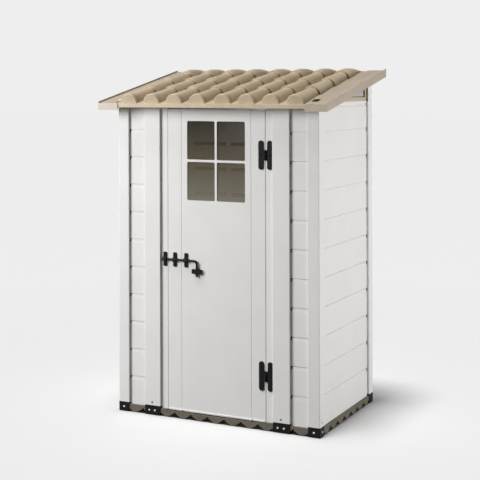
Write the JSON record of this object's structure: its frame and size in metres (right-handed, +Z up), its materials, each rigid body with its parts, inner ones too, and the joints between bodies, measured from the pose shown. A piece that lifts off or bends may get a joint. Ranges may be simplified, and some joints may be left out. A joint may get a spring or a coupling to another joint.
{
  "type": "plastic garden shed",
  "caption": "Small plastic garden shed with planked walls, a hinged door with a window, a sliding bolt and a lean-to roof of half-round tiles on a floor of tiles.",
  "frame": {"origin": "centre of the whole part's box, on the ground", "axes": "+Z up, the door faces -Y, +X to the right of someone who faces the door"},
  "size_m": [1.38, 0.901, 1.9183],
  "materials": {
    "white_plastic": "satin moulded",
    "tan_plastic": "satin moulded",
    "taupe_plastic": "matt moulded",
    "black_plastic": "satin moulded",
    "smoked_pane": "clear, smoked",
    "gable_glazing": "clear, frosted"
  },
  "bodies": {
    "shed": {"floor_tile_front_left": "taupe_plastic", "floor_tile_front_middle": "taupe_plastic", "floor_tile_front_right": "taupe_plastic", "floor_tile_back_left": "taupe_plastic", "floor_tile_back_middle": "taupe_plastic", "floor_tile_back_right": "taupe_plastic", "sill_front_left": "taupe_plastic", "sill_side_left": "taupe_plastic", "foot_front_left": "black_plastic", "foot_back_left": "black_plastic", "foot_jamb_left": "black_plastic", "corner_post_front_left": "white_plastic", "corner_post_back_left": "white_plastic", "jamb_post_left": "white_plastic", "front_wall_left": "white_plastic", "side_wall_left": "white_plastic", "door_frame_left": "white_plastic", "gable_frame_left": "tan_plastic", "gable_pane_left": "gable_glazing", "roof_panel_left": "tan_plastic", "roof_trim_left": "tan_plastic", "sill_front_right": "taupe_plastic", "sill_side_right": "taupe_plastic", "foot_front_right": "black_plastic", "foot_back_right": "black_plastic", "foot_jamb_right": "black_plastic", "corner_post_front_right": "white_plastic", "corner_post_back_right": "white_plastic", "jamb_post_right": "white_plastic", "front_wall_right": "white_plastic", "side_wall_right": "white_plastic", "door_frame_right": "white_plastic", "gable_frame_right": "tan_plastic", "gable_pane_right": "gable_glazing", "roof_panel_right": "tan_plastic", "roof_trim_right": "tan_plastic", "sill_back": "taupe_plastic", "back_wall": "white_plastic", "door_head": "white_plastic", "hinge_frame_leaf_upper": "black_plastic", "hinge_frame_leaf_lower": "black_plastic", "bolt_keeper": "black_plastic"},
    "door": {"door_stile_left": "white_plastic", "door_panel": "white_plastic", "door_stile_right": "white_plastic", "window_pane": "smoked_pane", "window_inner_frame": "white_plastic", "hinge_door_leaf_upper": "black_plastic", "hinge_door_leaf_lower": "black_plastic", "bolt_guides": "black_plastic"},
    "bolt": {"bolt": "black_plastic"}
  },
  "joints": [
    {"name": "door_hinge", "type": "hinge", "parent": "shed", "child": "door", "pos_m": [0.29725, -0.3595, 0.8635], "axis": [0, 0, 1], "range_deg": [0, 160]},
    {"name": "bolt_slide", "type": "slide", "parent": "door", "child": "bolt", "axis": [1, 0, 0], "range_m": [-0.034, 0]}
  ]
}
